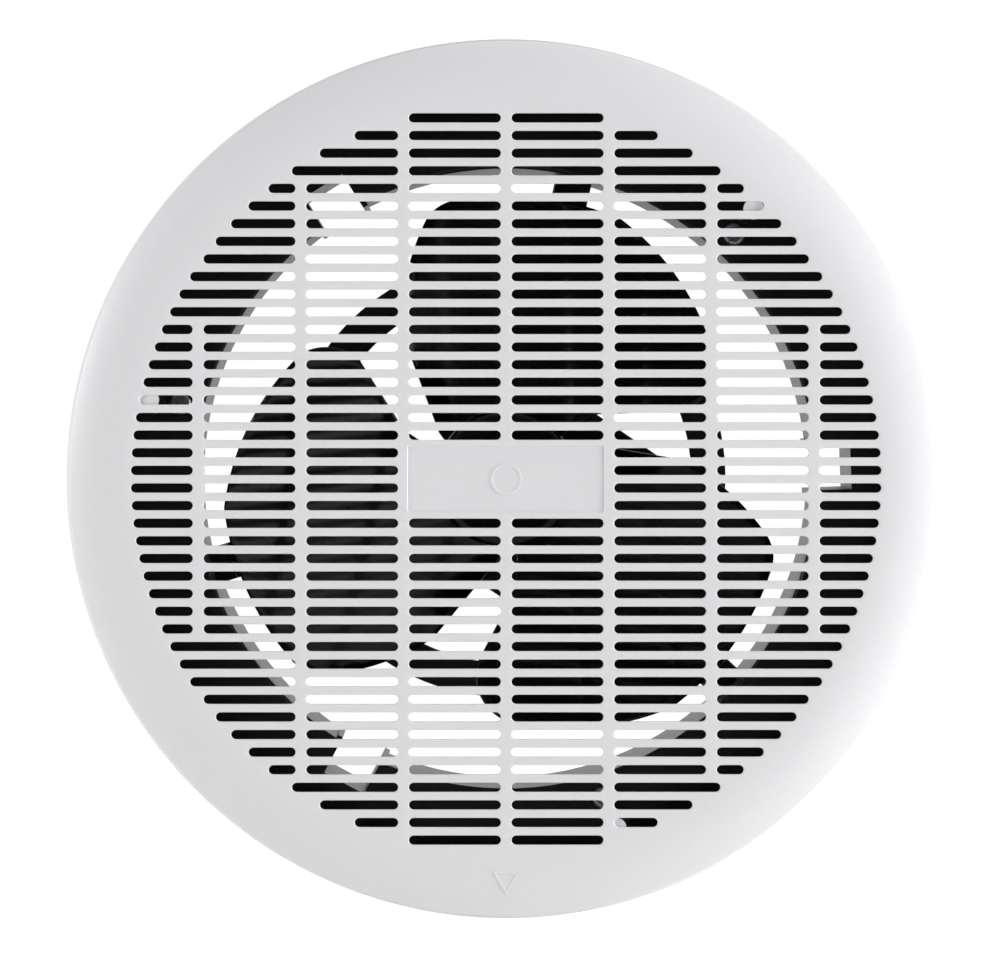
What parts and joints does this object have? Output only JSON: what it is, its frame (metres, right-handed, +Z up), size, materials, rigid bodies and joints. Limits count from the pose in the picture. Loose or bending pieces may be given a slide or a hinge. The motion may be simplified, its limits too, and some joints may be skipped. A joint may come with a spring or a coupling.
{
  "type": "bathroom extractor fan",
  "caption": "Round ceiling or wall extractor fan: slotted white grille over a ducted axial impeller, shaded-pole motor and swing-out clamps.",
  "frame": {"origin": "on the fan's axis, in the plane of the ceiling or wall board's face, where the cut-out collar begins", "axes": "+Y into the board and along the duct, -Y towards the room, +Z up as the grille is hung, +X right as seen from the room"},
  "size_m": [0.35, 0.122, 0.35],
  "materials": {
    "grille_white_abs": "satin moulded white ABS",
    "housing_black_abs": "glossy moulded black ABS",
    "frame_black_abs": "satin moulded black plastic",
    "impeller_black_abs": "glossy moulded black plastic",
    "toggle_black_nylon": "glass-filled black nylon",
    "cast_zinc": "die-cast zinc alloy, as cast",
    "sintered_bronze": "oil-filled sintered bronze",
    "wool_felt": "oiled wool felt",
    "lamination_steel": "stacked electrical steel, lightly oxidised",
    "copper": "bare copper",
    "cast_aluminium": "cast aluminium",
    "bobbin_nylon": "natural nylon",
    "enamelled_copper_wire": "enamelled copper wire, layer wound",
    "black_rubber": "matt black rubber",
    "white_pvc_lead": "white PVC sheath",
    "gland_grey_nylon": "grey nylon",
    "ground_steel": "centreless ground steel",
    "zinc_plated_steel": "bright zinc plate",
    "spring_steel": "oiled spring steel",
    "brass": "turned brass"
  },
  "bodies": {
    "root": {"housing": "housing_black_abs", "terminal_box": "housing_black_abs", "terminal_box_lid": "housing_black_abs", "lid_screws": "zinc_plated_steel", "motor_frame": "frame_black_abs", "frame_screws": "zinc_plated_steel", "isolator_grommets": "black_rubber", "mount_screws": "zinc_plated_steel", "mount_nuts": "zinc_plated_steel", "front_bracket": "cast_zinc", "rear_bracket": "cast_zinc", "front_bearing": "sintered_bronze", "rear_bearing": "sintered_bronze", "oil_felts": "wool_felt", "stator_core": "lamination_steel", "shading_rings": "copper", "coil_bobbin": "bobbin_nylon", "coil_winding": "enamelled_copper_wire", "motor_bolts": "zinc_plated_steel", "motor_nuts": "zinc_plated_steel", "terminal_block": "bobbin_nylon", "terminal_screws": "zinc_plated_steel", "cable_gland": "gland_grey_nylon", "gland_nut": "gland_grey_nylon", "lead_grommet": "black_rubber", "motor_lead": "white_pvc_lead", "lead_clips": "frame_black_abs"},
    "rotor": {"shaft": "ground_steel", "rotor_core": "lamination_steel", "rotor_cage": "cast_aluminium", "thrust_washers": "bobbin_nylon", "impeller": "impeller_black_abs", "impeller_washer": "zinc_plated_steel", "impeller_nut": "zinc_plated_steel", "drive_pin": "ground_steel"},
    "grille": {"grille": "grille_white_abs"},
    "clamp_screw_1": {"clamp_screw_1": "zinc_plated_steel", "retaining_clip_1": "spring_steel"},
    "clamp_bush_1": {"clamp_bush_1": "brass"},
    "toggle_1": {"toggle_1": "toggle_black_nylon"},
    "clamp_screw_2": {"clamp_screw_2": "zinc_plated_steel", "retaining_clip_2": "spring_steel"},
    "clamp_bush_2": {"clamp_bush_2": "brass"},
    "toggle_2": {"toggle_2": "toggle_black_nylon"},
    "clamp_screw_3": {"clamp_screw_3": "zinc_plated_steel", "retaining_clip_3": "spring_steel"},
    "clamp_bush_3": {"clamp_bush_3": "brass"},
    "toggle_3": {"toggle_3": "toggle_black_nylon"}
  },
  "joints": [
    {"name": "impeller_spin", "type": "hinge", "parent": "root", "child": "rotor", "pos_m": [0, 0, 0], "axis": [0, 1, 0], "continuous": true},
    {"name": "grille_pull", "type": "slide", "parent": "root", "child": "grille", "axis": [0, -1, 0], "range_m": [0, 0.06]},
    {"name": "clamp_screw_1_turn", "type": "hinge", "parent": "root", "child": "clamp_screw_1", "pos_m": [0.09105, 0, 0.09764], "axis": [0, 1, 0], "range_deg": [0, 5401]},
    {"name": "clamp_bush_1_travel", "type": "slide", "parent": "root", "child": "clamp_bush_1", "axis": [0, -1, 0], "range_m": [0, 0.03]},
    {"name": "toggle_1_swing", "type": "hinge", "parent": "clamp_bush_1", "child": "toggle_1", "pos_m": [0.09105, 0.046, 0.09764], "axis": [0, 1, 0], "range_deg": [0, 90]},
    {"name": "clamp_screw_2_turn", "type": "hinge", "parent": "root", "child": "clamp_screw_2", "pos_m": [-0.13008, 0, 0.03003], "axis": [0, 1, 0], "range_deg": [0, 5401]},
    {"name": "clamp_bush_2_travel", "type": "slide", "parent": "root", "child": "clamp_bush_2", "axis": [0, -1, 0], "range_m": [0, 0.03]},
    {"name": "toggle_2_swing", "type": "hinge", "parent": "clamp_bush_2", "child": "toggle_2", "pos_m": [-0.13008, 0.046, 0.03003], "axis": [0, 1, 0], "range_deg": [0, 90]},
    {"name": "clamp_screw_3_turn", "type": "hinge", "parent": "root", "child": "clamp_screw_3", "pos_m": [0.03903, 0, -0.12767], "axis": [0, 1, 0], "range_deg": [0, 5401]},
    {"name": "clamp_bush_3_travel", "type": "slide", "parent": "root", "child": "clamp_bush_3", "axis": [0, -1, 0], "range_m": [0, 0.03]},
    {"name": "toggle_3_swing", "type": "hinge", "parent": "clamp_bush_3", "child": "toggle_3", "pos_m": [0.03903, 0.046, -0.12767], "axis": [0, 1, 0], "range_deg": [0, 90]}
  ],
  "couplings": [
    {"joint": "clamp_screw_1_turn", "follows": "clamp_bush_1_travel", "rad_per_m": 3141.6},
    {"joint": "clamp_screw_2_turn", "follows": "clamp_bush_2_travel", "rad_per_m": 3141.6},
    {"joint": "clamp_screw_3_turn", "follows": "clamp_bush_3_travel", "rad_per_m": 3141.6}
  ]
}
